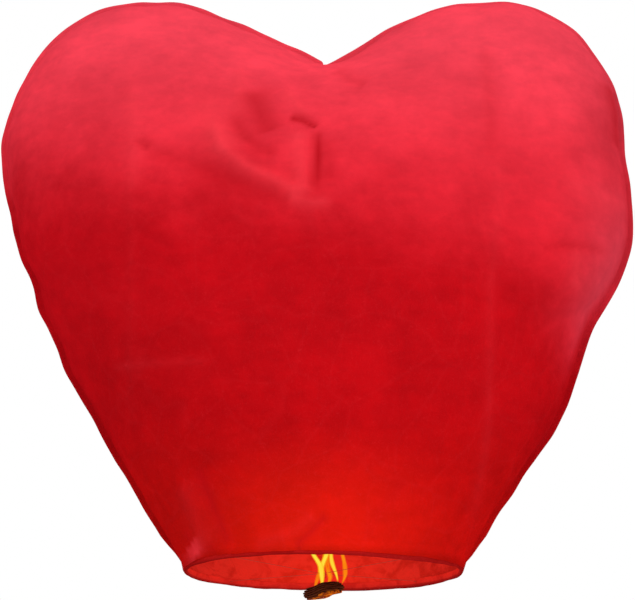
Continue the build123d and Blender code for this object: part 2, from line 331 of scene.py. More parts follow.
def polar(obj):
    """Distance of the mesh's points from the upright axis, their turn round it and their height."""
    x, y, z = places(obj).T
    return np.hypot(x, y), np.arctan2(y, x), z


def move_to(obj, points):
    obj.data.vertices.foreach_set("co", np.asarray(points, np.float32).ravel())
    obj.data.update()


def thicken(obj):
    """Gives a sheet its thickness, on the side away from its normals."""
    solid = obj.modifiers.new("thickness", "SOLIDIFY")
    solid.thickness = PAPER
    solid.offset = -1
    only(obj)
    bpy.ops.object.modifier_apply(modifier=solid.name)


def smooth(obj, angle=None):
    only(obj)
    if angle is None:
        bpy.ops.object.shade_smooth()
    else:
        bpy.ops.object.shade_smooth_by_angle(angle=radians(angle))


def point_value(obj, name, values):
    """Keeps one number for each point of a mesh, for its material to read."""
    attribute = obj.data.attributes.new(name, "FLOAT", "POINT")
    attribute.data.foreach_set("value", np.asarray(values, np.float32).ravel())


# ---- noise
def eased(part):
    return part * part * (3 - 2 * part)


def step_up(x, low, high):
    return eased(np.clip((x - low) / (high - low), 0, 1))


def noise_line(x, seed, count=1024):
    """Smooth random numbers from -1 to 1 along a line, one turn for each whole number."""
    table = np.random.default_rng(seed).uniform(-1, 1, count)
    low = np.floor(x).astype(int)
    part = eased(x - low)
    return table[low % count] * (1 - part) + table[(low + 1) % count] * part


def ring_noise(share, count, seed):
    """Smooth random numbers from -1 to 1 round a ring that closes on itself."""
    return noise_line((share % 1) * count, seed, count)


def ring_waves(share, count, seed, height):
    """Waves round a ring, from 0 up to a height."""
    return height * (0.5 + 0.5 * ring_noise(share, count, seed))


def noise_field(x, y, seed):
    """Smooth random numbers from -1 to 1 over a plane."""
    table = np.random.default_rng(seed).uniform(-1, 1, (64, 64))
    i, j = np.floor(x).astype(int), np.floor(y).astype(int)
    u, v = (part**3 * (part * (6 * part - 15) + 10) for part in (x - i, y - j))
    rows = [table[i % 64, row % 64] * (1 - u) + table[(i + 1) % 64, row % 64] * u for row in (j, j + 1)]
    return rows[0] * (1 - v) + rows[1] * v


# ---- the paper's form
def end_slope(knots, points, at):
    """Slope, at one of the knots, of the cubic through four points."""
    return np.polyfit(knots - at, points, 3)[2]


def run_along(points):
    """How far along a line of straight runs each of its points lies."""
    return np.append(0, np.cumsum(np.linalg.norm(np.diff(points, axis=0), axis=1)))


def even_line(points, count):
    """Evenly spaced points and directions along the smooth curve through a few points."""
    given = np.array(points, float)
    knots = run_along(given)
    last = len(given) - 1
    system = np.eye(len(given))
    wanted = np.zeros((len(given), 2))
    wanted[0] = end_slope(knots[:4], given[:4], knots[0])
    wanted[last] = end_slope(knots[-4:], given[-4:], knots[-1])
    for i in range(1, last):
        before = knots[i] - knots[i - 1]
        after = knots[i + 1] - knots[i]
        system[i, i - 1 : i + 2] = after, 2 * (before + after), before
        rise = after * (given[i] - given[i - 1]) / before
        wanted[i] = 3 * (rise + before * (given[i + 1] - given[i]) / after)
    slopes = np.linalg.solve(system, wanted)
    fine = np.linspace(0, knots[-1], 4000)
    span = np.clip(np.searchsorted(knots, fine, side="right") - 1, 0, last - 1)
    width = (knots[span + 1] - knots[span])[:, None]
    t = (fine - knots[span])[:, None] / width
    curve = (
        (2 * t**3 - 3 * t**2 + 1) * given[span]
        + (t**3 - 2 * t**2 + t) * width * slopes[span]
        + (3 * t**2 - 2 * t**3) * given[span + 1]
        + (t**3 - t**2) * width * slopes[span + 1]
    )
    run = run_along(curve)
    even = np.linspace(0, run[-1], count)
    line = np.stack([np.interp(even, run, curve[:, k]) for k in range(2)], 1)
    way = np.gradient(line, axis=0)
    return line, way / np.linalg.norm(way, axis=1)[:, None], even


def distance_to(x, z, points):
    """Distance from each place to a line of straight runs, and how far along it, from 0 to 1."""
    best = np.full(x.shape, 9.0)
    along = np.zeros(x.shape)
    runs = len(points) - 1
    for number, (start, end) in enumerate(zip(points, points[1:])):
        dx, dz = end - start
        t = np.clip(((x - start[0]) * dx + (z - start[1]) * dz) / (dx * dx + dz * dz), 0, 1)
        gap = np.hypot(x - start[0] - t * dx, z - start[1] - t * dz)
        nearer = gap < best
        best = np.where(nearer, gap, best)
        along = np.where(nearer, (number + t) / runs, along)
    return best, along


def wandering(seam, way, run, wander):
    """One side's seam, drifting outwards and inwards from the drawn one."""
    shares, drift = np.array(wander).T
    line = np.interp(run / run[-1], shares, drift)
    line = np.convolve(np.pad(line, 3, mode="edge"), WANDER_SOFTENING, "valid") * MM
    return seam + np.stack([way[:, 1] * line, -way[:, 0] * line], 1)


def seam_puckers(run, inset, seed):
    """Creases that run in from the seam, finest beside it: negative where the paper dips."""
    lean = run + PUCKER_LEAN * inset * noise_line(run / 0.17, seed)
    dip = np.zeros_like(inset)
    for number, (pitch, reach, height) in enumerate(PUCKERS):
        ridge = 1 - 2 * np.abs(noise_line(lean / pitch, seed + 1 + number))
        vary = 0.6 + 0.4 * noise_line(run / 0.12, seed + 11 + number)
        swell = np.exp(-inset / reach) * step_up(inset, 0, 0.35 * reach)
        dip -= height * MM * ridge * vary * swell
    return dip


def slack(x, z, turns, inset, seed):
    """Soft unevenness of a whole face, and gathers where it meets the rim."""
    height = z - RIM_HEIGHT
    lift = np.zeros_like(inset)
    for number, (waves, depth, reach, run_in) in enumerate(GATHERS):
        gather = np.exp(-height / reach) * step_up(height, 0, run_in)
        lift += depth * gather * noise_line(turns * waves + 40, seed + number)
    inner = step_up(inset, 0.0, 0.09) * step_up(height, 0.0, 0.08)
    for number, (pitch, depth) in enumerate(SLACK):
        lift += depth * MM * inner * noise_field(x / pitch + 20, z / pitch + 20, seed + 2 + number)
    return lift


def fold_lines(x, z, folds):
    """Height of the folds across a face, and how pale they are with wear and painted highlight, or how dark
    where doubled and in painted shade.
    """
    lift, worn_and_highlit, doubled_and_shaded = np.zeros((3, *x.shape))
    for points, depth, width, shade in folds:
        gap, along = distance_to(x, z, np.array(points) * MM)
        gap = gap / (width * MM)
        ends = step_up(along, 0, 0.15) * step_up(1 - along, 0, 0.15)
        form = ends * (0.5 * np.exp(-0.7 * gap**2) + 0.5 * np.exp(-gap))
        lift += depth * MM * form
        worn_and_highlit += max(shade, 0) * form
        doubled_and_shaded += max(-shade, 0) * form
    return lift, np.minimum(worn_and_highlit, 1), np.minimum(doubled_and_shaded, 1)


def glued_edge(grid, seam_way, width, run, sign, seed):
    """Columns of the margin beyond the seam, from the seam outwards, on one side."""
    pitch, uneven = FRILL
    frill = 1 + uneven * noise_line(run / pitch, seed)
    pitch, height = EDGE_WAVE
    wave = height * noise_line(run / pitch, seed + 1) * width / MARGIN
    columns = []
    for number in range(1, MARGIN_STEPS + 1):
        share = number / MARGIN_STEPS
        edge = grid.copy()
        edge[:, 0] += sign * seam_way[:, 1] * width * share * frill
        edge[:, 1] += wave * share
        edge[:, 2] -= seam_way[:, 0] * width * share * frill
        edge[:, 0] = np.maximum(edge[:, 0] * sign, 0) * sign
        columns.append(edge)
    return columns


def sheet_form(side, folds, laps, seed):
    """Places of one face's grid, rows up and columns across; side is -1 in front and 1 behind."""
    seam, seam_way, seam_run = even_line(SEAM, ROWS + 1)
    middle, _, _ = even_line(MIDDLE, ROWS + 1)
    left, right = (wandering(seam, seam_way, seam_run, way) for way in (LEFT_WANDER, RIGHT_WANDER))
    turns = np.radians(np.linspace(-90, 90, COLUMNS + 1))[None, :]
    across = np.sin(turns)
    x = np.where(across < 0, left[:, :1], right[:, :1]) * across
    top = np.where(across < 0, left[:, 1:], right[:, 1:])
    z = middle[:, 1:] + (top - middle[:, 1:]) * across**2
    y = side * middle[:, :1] * np.cos(turns)
    grid = np.stack([x, y, z], 2)

    step = np.linalg.norm(np.diff(grid, axis=1), axis=2)
    walked = np.concatenate([np.zeros((ROWS + 1, 1)), np.cumsum(step, axis=1)], axis=1)
    inset = np.minimum(walked, walked[:, -1:] - walked)
    normal = np.cross(np.gradient(grid, axis=1), np.gradient(grid, axis=0)) * -side
    normal /= np.maximum(np.linalg.norm(normal, axis=2, keepdims=True), 1e-9)
    normal[-1] = (0, 0.5 * side, 0.87)

    run = seam_run[:, None]
    lift = np.where(x < 0, seam_puckers(run, inset, seed), seam_puckers(run, inset, seed + 50))
    lift += slack(x, z, turns, inset, seed + 90)
    folded, worn_and_highlit, doubled_and_shaded = fold_lines(x, z, folds)
    grid += normal * (lift + folded)[:, :, None]

    # The seam flutters, alike on both faces, and the paper beside it follows.
    free = step_up(seam[:, 1] - RIM_HEIGHT, 0, 0.05) * step_up(seam[:, 0], 0, 0.05)
    for half, sign, number in ((x[0] < 0, -1, 0), (x[0] >= 0, 1, 5)):
        pitch, height = SCALLOP
        scallop = height * noise_line(seam_run / pitch, 300 + number) * free
        flutter = np.zeros(ROWS + 1)
        for wave, (pitch, height) in enumerate(FLUTTER):
            flutter += height * noise_line(seam_run / pitch, 302 + number + wave) * free
        near = np.exp(-inset[:, half] / FLUTTER_REACH)
        grid[:, half, 0] += (sign * seam_way[:, 1] * scallop)[:, None] * near
        grid[:, half, 1] += flutter[:, None] * near
        grid[:, half, 2] -= (seam_way[:, 0] * scallop)[:, None] * near

    # The lowest row laps over the rim's outside.
    grid[0, :, :2] *= (RIM_OUTER + RIM_CLEAR) / RIM_OUTER
    lap = np.interp(across[0], *np.array(laps).T) * MM
    grid[0, :, 2] -= lap + LAP_WAVER * noise_line(turns[0] * LAP_WAVES + 40, seed + 95)

    width = MARGIN * np.clip((seam[:, 1] - RIM_HEIGHT) / MARGIN_RUN_IN, 0, 1)
    outer_left = glued_edge(grid[:, 0], seam_way, width, seam_run, -1, 320)
    outer_right = glued_edge(grid[:, -1], seam_way, width, seam_run, 1, 327)
    grid = np.concatenate([np.stack(outer_left[::-1], 1), grid, np.stack(outer_right, 1)], axis=1)
    grid[:, :, 1] += side * SHEET_STEP
    values = {}
    for name, inner, outside in (("inset", inset, MARGIN_INSET), ("worn_and_highlit", worn_and_highlit, 0), ("doubled_and_shaded", doubled_and_shaded, 0)):
        values[name] = np.pad(inner, ((0, 0), (MARGIN_STEPS, MARGIN_STEPS)), constant_values=outside)
    return grid, values


def paper_face(name, side, folds, laps, seed):
    """One face of the envelope with its glued edges: a sheet of paper drawn over the form."""
    grid, values = sheet_form(side, folds, laps, seed)
    wide = COLUMNS + 2 * MARGIN_STEPS
    deselect()
    bpy.ops.mesh.primitive_grid_add(x_subdivisions=wide, y_subdivisions=ROWS, size=2)
    sheet = new_piece(name)
    flat = places(sheet)
    column = np.rint((flat[:, 0] + 1) / 2 * wide).astype(int)
    row = np.rint((flat[:, 1] + 1) / 2 * ROWS).astype(int)
    move_to(sheet, grid[row, column])
    for value, kept in values.items():
        point_value(sheet, value, kept[row, column])
    edit(sheet, ("remove_doubles", {"threshold": WELD}))
    faces = sheet.data.polygons
    if faces[len(faces) // 2].normal.y * side < 0:
        edit(sheet, ("flip_normals", {}))
    smooth(sheet)
    outer = len(sheet.data.vertices)
    thicken(sheet)
    point_value(sheet, "inside", np.arange(len(sheet.data.vertices)) >= outer)
    return sheet


# ---- the rim's strip of paper
def rim_section():
    """Rounded section of the strip folded round the hoop, as distance from the axis and height."""
    outer, inner = RIM_OUTER - RIM_CORNER, RIM_INNER + RIM_CORNER
    low, high = RIM_CORNER, RIM_HEIGHT - RIM_CORNER
    corners = [  # the middle of each rounded corner, and the points that follow it
        (outer, low, [(RIM_OUTER, share * RIM_HEIGHT) for share in (0.3, 0.5, 0.7)]),
        (outer, high, [(RIM_OUTER - RIM_THICK / 2, RIM_HEIGHT)]),
        (inner, high, [(RIM_INNER, SLIT_HIGH), (RIM_INNER, SLIT_LOW)]),
        (inner, low, []),
    ]
    around = []
    for number, (x, z, after) in enumerate(corners):
        for turn in (0, pi / 6, pi / 3, pi / 2):
            turn += (number - 1) * pi / 2
            around.append((x + RIM_CORNER * cos(turn), z + RIM_CORNER * sin(turn)))
        around += after
    return around


def cut_slits(strip, step):
    """Takes out the strip's inner faces where the wires come through."""
    edit(strip, ("select_mode", {"type": "FACE"}), ("select_all", {"action": "DESELECT"}))
    for face in strip.data.polygons:
        middle = face.center
        turn = degrees(atan2(middle.y, middle.x)) % 360
        beside = min(abs(turn - angle) for angle in WIRE_ANGLES) < 0.4 * degrees(step)
        face.select = beside and middle.xy.length < RIM_INNER + NEAR and SLIT_LOW < middle.z < SLIT_HIGH
    bpy.ops.object.mode_set(mode="EDIT")
    bpy.ops.mesh.delete(type="FACE")
    bpy.ops.object.mode_set(mode="OBJECT")


def rim_strip():
    """A strip of tissue folded right round the hoop, gathered a little, with a slit for each wire."""
    section = rim_section()
    step = 2 * pi / RIM_TURNS
    deselect()
    bpy.ops.mesh.primitive_circle_add(vertices=len(section), radius=1, fill_type="NOTHING")
    strip = new_piece("rim_strip")
    move_to(strip, [(r * cos(-step / 2), r * sin(-step / 2), z) for r, z in section])
    edit(
        strip,
        ("spin", {"steps": RIM_TURNS, "angle": 2 * pi, "center": (0, 0, 0), "axis": (0, 0, 1)}),
        ("remove_doubles", {"threshold": WELD}),
        ("normals_make_consistent", {"inside": False}),
    )
    cut_slits(strip, step)

    radius, turn, height = polar(strip)
    turn = np.degrees(turn) % 360
    # The slits close round the wires.
    for angle in WIRE_ANGLES:
        off = turn - angle
        edge = (np.abs(off) < degrees(step)) & (radius < RIM_INNER + NEAR)
        edge &= (height > SLIT_LOW - NEAR) & (height < SLIT_HIGH + NEAR)
        turn = np.where(edge, angle + np.sign(off) * degrees(SLIT_WIDE / 2 / RIM_INNER), turn)
    share = turn / 360
    outside = step_up(radius, RIM_INNER + 0.5 * RIM_THICK, RIM_OUTER)
    gather = ring_waves(share, 96, 400, 1.0) + ring_waves(share, 230, 401, 0.5)
    bow = np.sin(pi * np.clip(height / RIM_HEIGHT, 0, 1))
    radius = radius + RIM_GATHER * gather * outside * (0.35 + 0.65 * bow)
    radius = radius - ring_waves(share, 70, 402, RIM_DENT) * (1 - outside)
    low = 1 - step_up(height, 0, 0.55 * RIM_HEIGHT)
    sag = sum(depth * np.exp(-(((turn - middle) / wide) ** 2)) for middle, wide, depth in RIM_DROOPS)
    sag = sag + ring_waves(share, 30, 403, RIM_RAGGED)
    height = height - low * (outside * sag + ring_waves(share, 90, 404, RIM_FRAYED))
    turn = np.radians(turn)
    move_to(strip, np.stack([radius * np.cos(turn), radius * np.sin(turn), height], 1))
    smooth(strip, 50)
    thicken(strip)
    return strip


# ---- the fuel pad
def square_reach(turn):
    """Distance from the middle of the pad's rounded square to its edge, in any direction."""
    half = PAD_SIDE / 2
    beside = np.abs(np.cos(turn)), np.abs(np.sin(turn))
    flat = half / np.maximum(*beside)
    centre = half - PAD_CORNER
    toward = centre * (beside[0] + beside[1])
    round_corner = toward + np.sqrt(np.maximum(toward**2 - 2 * centre**2 + PAD_CORNER**2, 0))
    at_corner = flat * np.minimum(*beside) > centre
    return np.where(at_corner, round_corner, flat)


def pad_layer(number):
    """One square of waxed paper in the pad: burnt round at its edges, with the wire's hole."""
    tube = 0.25
    deselect()
    bpy.ops.mesh.primitive_torus_add(
        major_segments=144, minor_segments=36, major_radius=1.0, minor_radius=tube
    )
    layer = new_piece(f"pad_layer_{number + 1}")
    ring, turn, height = polar(layer)
    out = (ring - 1) / tube
    up = height / tube
    out = np.sign(out) * np.abs(out) ** 0.22
    up = np.sign(up) * np.abs(up) ** 0.4

    own = radians(PAD_TURN + LAYER_TURN * (1 if number % 2 else -1))
    share = turn / (2 * pi) + 0.5
    ragged = np.zeros_like(share)
    for waves, out_by, seed, change in LAYER_RAGGED:
        ragged += out_by * ring_noise(share, waves, seed + change * number)
    reach = square_reach(turn - own) * LAYER_LEFT[number] + ragged * MM - BURNT_AWAY
    radius = PAD_HOLE + (out + 1) / 2 * (reach - PAD_HOLE)
    edge = radius / reach
    x = radius * np.cos(turn)
    y = radius * np.sin(turn)
    # Every layer follows the same swells, and the upper ones curl up where they are burnt.
    size, depth = PAD_SWELL
    swell = depth * noise_field(x / size + 9, y / size + 9, 530)
    curl = (number - 2) * PAD_CURL * edge**4 * (0.7 + 0.5 * ring_noise(share, 7, 540))
    thick = (LAYER_THICK / 2 - LAYER_GAP) * (1 - 0.12 * step_up(edge, 0.82, 1.0))
    size, depth = PAD_ROUGH
    rough = depth * noise_field(x / size + 9, y / size + 9, 550 + number)
    z = (number - 2.5) * LAYER_THICK + thick * up + swell + curl + rough * up
    side = x * cos(PAD_TILT) - z * sin(PAD_TILT)
    height = x * sin(PAD_TILT) + z * cos(PAD_TILT) + PAD_MIDDLE
    move_to(layer, np.stack([side, y, height], 1))
    point_value(layer, "burnt", step_up(edge + 0.05 * ragged, 0.55, 1.0))
    smooth(layer)
    return layer


def smooth_between(at, knots, values):
    """Values at places along a line, through the given ones, with its corners rounded off."""
    fine = np.linspace(0, knots[-1], 241)
    line = np.interp(fine, knots, values)
    for _ in range(2):
        longer = np.pad(line, 12, mode="reflect", reflect_type="odd")
        line[1:-1] = np.convolve(longer, np.full(25, 0.04), "valid")[1:-1]
    return np.interp(at, fine, line)


def flame_tongue(number, half_width, warmth, flatness, points):
    """One tongue of the flame: a core and a thin mantle round it, along a bent line."""
    spine = np.array(points, float) * MM
    run = run_along(spine)
    shells = []
    for wide, core in FLAME_SHELLS:
        deselect()
        bpy.ops.mesh.primitive_uv_sphere_add(segments=28, ring_count=56, radius=1)
        shell = new_piece(f"flame_{number + 1}")
        _, turn, height = polar(shell)
        share = np.arccos(np.clip(-height, -1, 1)) / pi
        along = (0.5 + (share - 0.5) * (0.9 + 0.1 * wide)) * run[-1]
        middle = np.stack([smooth_between(along, run, spine[:, axis]) for axis in range(3)], 1)
        width = half_width * MM * wide * np.sin(pi * share**0.72) ** 0.8
        width = width * (1 + FLICKER * noise_line(share * 9 + 3, 600 + number))
        off = np.stack([np.cos(turn) * width, flatness * np.sin(turn) * width, 0 * turn], 1)
        move_to(shell, middle + off)
        for value, kept in (("rise", share), ("core", core + 0 * share), ("warmth", warmth + 0 * share)):
            point_value(shell, value, kept)
        shells.append(shell)
    only(shells[0])
    for shell in shells[1:]:
        shell.select_set(True)
    bpy.ops.object.join()
    smooth(shells[0])
    return shells[0]


# ---- materials
class Web:
    """A material's nodes, with short ways to add and join them. Whatever goes into a socket is
    either another node's output, which is linked to it, or a plain value, which is set on it."""

    def __init__(self, tree):
        self.tree = tree
        self.nodes = tree.nodes
        self.surface = tree.nodes.get("Principled BSDF")

    def put(self, node, inputs):
        """Fills a node's sockets; inputs go by the socket's name or number."""
        for name, value in inputs.items():
            socket = node.inputs[name]
            if isinstance(value, bpy.types.NodeSocket):
                self.tree.links.new(value, socket)
            elif socket.type == "RGBA":
                socket.default_value = (*value, 1)
            else:
                socket.default_value = value

    def add(self, kind, inputs=None, **properties):
        node = self.nodes.new("ShaderNode" + kind)
        for name, value in properties.items():
            setattr(node, name, value)
        self.put(node, inputs or {})
        return node

    def maths(self, operation, first, second=0, clamp=False):
        return self.add("Math", {0: first, 1: second}, operation=operation, use_clamp=clamp).outputs[0]

    def chain(self, operation, first, *others, clamp=False):
        for second in others:
            first = self.maths(operation, first, second, clamp)
        return first

    def plus(self, *values, clamp=False):
        return self.chain("ADD", *values, clamp=clamp)

    def minus(self, first, second):
        return self.maths("SUBTRACT", first, second)

    def times(self, *values):
        return self.chain("MULTIPLY", *values)

    def off_half(self, value):
        """How far a value is from a half."""
        return self.maths("ABSOLUTE", self.minus(value, 0.5))

    def spread(self, value, low, high, to_low=0, to_high=1):
        """A value drawn smoothly from one range to another."""
        ends = {"From Min": low, "From Max": high, "To Min": to_low, "To Max": to_high}
        return self.add("MapRange", {"Value": value, **ends}, interpolation_type="SMOOTHSTEP").outputs[0]

    def mixed(self, share, first, second, blend="MIX"):
        """Two colours mixed."""
        inputs = {0: share, 6: first, 7: second}
        return self.add("Mix", inputs, data_type="RGBA", blend_type=blend).outputs[2]

    def toned(self, colour, value, *ends):
        """A colour made darker or lighter by a value drawn from one range to another."""
        return self.mixed(1, colour, self.spread(value, *ends), "MULTIPLY")

    def varied(self, noise, to_low, to_high):
        """A noise's usual range drawn to another."""
        return self.spread(noise, *USUAL_NOISE, to_low, to_high)

    def ramp(self, value, stops):
        node = self.add("ValToRGB", {0: value})
        band = node.color_ramp
        while len(band.elements) < len(stops):
            band.elements.new(0.5)
        for element, (place, colour) in zip(band.elements, stops):
            element.position = place
            element.color = (*colour, 1)
        return node.outputs[0]

    def scaled(self, place, scale):
        return self.add("VectorMath", {0: place, 1: scale}, operation="MULTIPLY").outputs[0]

    def noise(self, place, scale, detail=3, roughness=0.5, distortion=0):
        """Noise; three scales in place of one draw it out along the axes."""
        if isinstance(scale, tuple):
            place = self.scaled(place, scale)
            scale = 1
        look = {"Scale": scale, "Detail": detail, "Roughness": roughness, "Distortion": distortion}
        return self.add("TexNoise", {"Vector": place, **look}).outputs["Fac"]

    def attribute(self, name):
        return self.add("Attribute", attribute_name=name).outputs["Fac"]

    def where(self):
        """Place on the object in metres, then its X, Y and Z."""
        place = self.add("TexCoord").outputs["Object"]
        return place, *self.add("SeparateXYZ", {0: place}).outputs

    def radius(self, place):
        """Distance from the lantern's upright middle line."""
        flat = self.scaled(place, (1, 1, 0))
        return self.add("VectorMath", {0: flat}, operation="LENGTH").outputs["Value"]

    def flame_glow(self, across, height, reach):
        """How strongly the flame's light reaches the paper, from 1 beside it to 0."""
        low = self.minus(height, GLOW_HEIGHT)
        far = self.plus(self.times(across, across), self.times(low, low))
        return self.spread(self.maths("SQRT", far), 0, reach, 1, 0)

    def skin(self, colour, roughness, specular=0.5, light=None):
        """Sets the surface's colour, roughness, gloss and, if it has any, its own light."""
        self.put(self.surface, {"Base Color": colour, "Roughness": roughness, "Specular IOR Level": specular})
        if light is not None:
            self.put(self.surface, {"Emission Color": light, "Emission Strength": 1})

    def bump(self, *layers):
        """Bumps laid one on another, each a height and its depth in metres. Gives the last one."""
        under = {}
        for height, depth in layers:
            last = self.add("Bump", {"Distance": depth, "Strength": 1, "Height": height, **under})
            under = {"Normal": last.outputs[0]}
        self.put(self.surface, under)
        return last.outputs[0]

    def blend(self, share, other):
        """Ends the material with another shader mixed into the surface's."""
        both = self.add("MixShader", {0: share, 1: self.surface.outputs[0], 2: other.outputs[0]})
        self.put(self.nodes["Material Output"], {"Surface": both.outputs[0]})


def new_material(name):
    material = bpy.data.materials.new(name)
    material.use_nodes = True
    return material, Web(material.node_tree)


def new_group(name, inputs, outputs):
    """A shader node group: inputs are names and their kinds, and outputs are names of numbers."""
    group = bpy.data.node_groups.new(name, "ShaderNodeTree")
    for label, kind in inputs.items():
        group.interface.new_socket(name=label, in_out="INPUT", socket_type="NodeSocket" + kind)
    for label in outputs:
        group.interface.new_socket(name=label, in_out="OUTPUT", socket_type="NodeSocketFloat")
    nodes = group.nodes
    return Web(group), nodes.new("NodeGroupInput").outputs, nodes.new("NodeGroupOutput")


def tissue_group():
    """Dye clouds and loose fibres of thin tissue paper, used by the faces and the rim."""
    web, given, made = new_group("tissue_fibre", {"Place": "Vector"}, ["Clouds", "Fibres", "Tooth"])
    place = given["Place"]
    wide = web.noise(place, 7, 4, 0.6, 0.3)
    fine = web.noise(place, 55, 4, 0.65)
    threads = []
    for scale, bend in ((130, 1.6), (210, 2.4)):
        gap = web.off_half(web.noise(place, scale, 1, 0.4, bend))
        threads.append(web.spread(gap, 0, 0.022, 1, 0))
    web.put(made, {
        "Clouds": web.plus(web.times(wide, 0.78), web.times(fine, 0.22)),
        "Fibres": web.maths("MAXIMUM", *threads),
        "Tooth": web.noise(place, 900, 2, 0.6),
    })
    return web.tree


def crumple_group():
    """A net of shallow creases, as in paper that was folded small and opened again."""
    web, given, made = new_group("crumple", {"Place": "Vector", "Scale": "Float"}, ["Height", "Line"])
    place = given["Place"]
    warp = web.add("TexNoise", {"Vector": place, "Scale": 6, "Detail": 2})
    push = web.scaled(warp.outputs["Color"], (0.1, 0.1, 0.1))
    moved = web.add("VectorMath", {0: place, 1: push}, operation="ADD").outputs[0]
    look = {"Vector": moved, "Scale": given["Scale"], "Randomness": 1}
    gap = web.add("TexVoronoi", look, feature="DISTANCE_TO_EDGE").outputs["Distance"]
    web.put(made, {"Height": web.spread(gap, 0, 0.35), "Line": web.spread(gap, 0, 0.035, 1, 0)})
    return web.tree


def red_paper(tissue, crumple):
    """Red dyed tissue, with painted light: paler where the light falls on it from above, and a painted glow
    round the flame.
    """
    material, web = new_material("red_tissue")
    where, across, _, height = web.where()
    clouds, fibres, tooth = web.add("Group", {"Place": where}, node_tree=tissue).outputs
    net = {"Place": where, "Scale": CREASE_NET}
    crease, crease_line = web.add("Group", net, node_tree=crumple).outputs
    inset, worn_and_highlit, doubled_and_shaded, inside = (web.attribute(name) for name in ("inset", "worn_and_highlit", "doubled_and_shaded", "inside"))

    high = web.plus(height, web.times(clouds, CLOUD_SHIFT))
    # Painted light on the right flank, beside the right-hand seam and halfway up.
    beside = web.times(
        web.spread(inset, 0, 0.27, 0.23, 0),
        web.spread(across, 0.05, 0.25),
        web.spread(inset, 0, 0.07, 0.35, 1),
        web.spread(height, 0.16, 0.38, 0.2, 1),
        web.spread(height, 0.38, 0.58, 1, 0),
    )
    tint = web.ramp(web.spread(height, 0, 0.5), DYE_LOW)
    # Painted light: paler and pinker paper higher up, and more so to the right.
    for low, top, lean, more, lit_colour in PAINTED_TOP_LIGHT:
        painted_light = web.plus(high, web.times(across, lean), web.times(beside, more))
        tint = web.mixed(web.spread(painted_light, low, top), tint, lit_colour)
    tint = web.toned(tint, clouds, *USUAL_NOISE, 0.9, 1.08)
    # Painted light and shade: the left edge a little lighter and the right edge darker.
    tint = web.toned(tint, across, -0.42, -0.29, 1.11, 1)
    tint = web.toned(tint, across, 0.3, 0.42, 1, 0.83)
    tint = web.toned(tint, web.noise(where, (26, 26, 52), 3, 0.6), *USUAL_NOISE, 0.955, 1.035)
    tint = web.mixed(web.times(fibres, LOOSE_FIBRES), tint, DYE_FIBRE)
    # Folds: pale with wear and painted highlight, darker where the paper lies doubled and in painted shade.
    worn_and_highlit = web.plus(web.times(worn_and_highlit, 0.55), web.times(crease_line, 0.02), clamp=True)
    tint = web.mixed(worn_and_highlit, tint, WORN_HIGHLIT_TINT)
    tint = web.mixed(web.times(doubled_and_shaded, 0.85), tint, DOUBLED_SHADED_TINT)
    tint = web.toned(tint, doubled_and_shaded, 0, 1, 1, 0.86)
    tint = web.toned(tint, inset, -0.4 * MM, 1.2 * MM, 0.95, 1)

    # Painted glow: the flame's light on the paper is given as its own emission, less where it lies doubled,
    # and in blotches inside.
    near = web.flame_glow(web.times(across, GLOW_WIDER), height, GLOW_REACH)
    near = web.times(near, web.spread(doubled_and_shaded, 0, 1, 1, 0.45))
    blotch = web.noise(where, 26, 4, 0.65, 0.8)
    wide = web.times(
        web.flame_glow(across, height, INSIDE_REACH),
        web.spread(blotch, 0.36, 0.64, 0.55, 1.32),
        inside,
        web.spread(inset, 0, 0.012),
    )
    light = web.mixed(1, web.mixed(near, UNLIT, NEAR_LIGHT), web.mixed(wide, UNLIT, INSIDE_LIGHT), "ADD")
    web.skin(tint, web.varied(clouds, 0.5, 0.68), 0, light)
    dents = web.noise(where, 38, 4, 0.6)
    last = web.bump((crease, 0.7 * MM), (dents, 1.6 * MM), (tooth, 0.1 * MM), (fibres, 0.05 * MM))
    web.blend(TRANSLUCENCE, web.add("BsdfTranslucent", {"Color": tint, "Normal": last}))
    return material


def rim_paper(tissue):
    """The same tissue folded twice round the hoop: darker outside, darkest low down with painted shade of the
    hoop, and a painted glow of the flame inside.
    """
    material, web = new_material("folded_tissue")
    where, _, _, height = web.where()
    clouds, fibres, tooth = web.add("Group", {"Place": where}, node_tree=tissue).outputs
    # Darker low down: folded tissue with painted shade of the hoop seen through it, darkest at the lowest
    # edge.
    tint = web.mixed(web.spread(height, 0.15 * RIM_HEIGHT, 0.95 * RIM_HEIGHT), RIM_SHADED_LOW, RIM_DYE_HIGH)
    tint = web.toned(tint, clouds, *USUAL_NOISE, 0.85, 1.12)
    tint = web.toned(tint, height, -1 * MM, 2.4 * MM, 0.66, 1)
    tint = web.mixed(web.times(fibres, LOOSE_FIBRES), tint, RIM_DYE_FIBRE)
    lit = web.times(
        web.spread(web.radius(where), RIM_OUTER - 4.4 * MM, RIM_OUTER - 2.6 * MM, 1, 0),
        web.spread(web.noise(where, 40, 4, 0.65, 0.8), 0.34, 0.66, 0.6, 1.15),
        web.spread(height, 0.2 * MM, 2.4 * MM, 0.3, 1),
    )
    web.skin(tint, web.varied(clouds, 0.5, 0.7), 0, web.mixed(lit, UNLIT, RIM_LIGHT))
    web.bump((web.noise(where, 90, 4, 0.6), 0.9 * MM), (tooth, 0.1 * MM))
    return material


def round_the_hoop(web):
    """Place on the hoop, unrolled, in metres: along it, up it and outwards; then how far along."""
    where, x, y, z = web.where()
    along = web.times(web.maths("ARCTAN2", y, x), RIM_OUTER)
    return web.add("CombineXYZ", {"X": along, "Y": z, "Z": web.radius(where)}).outputs[0], along


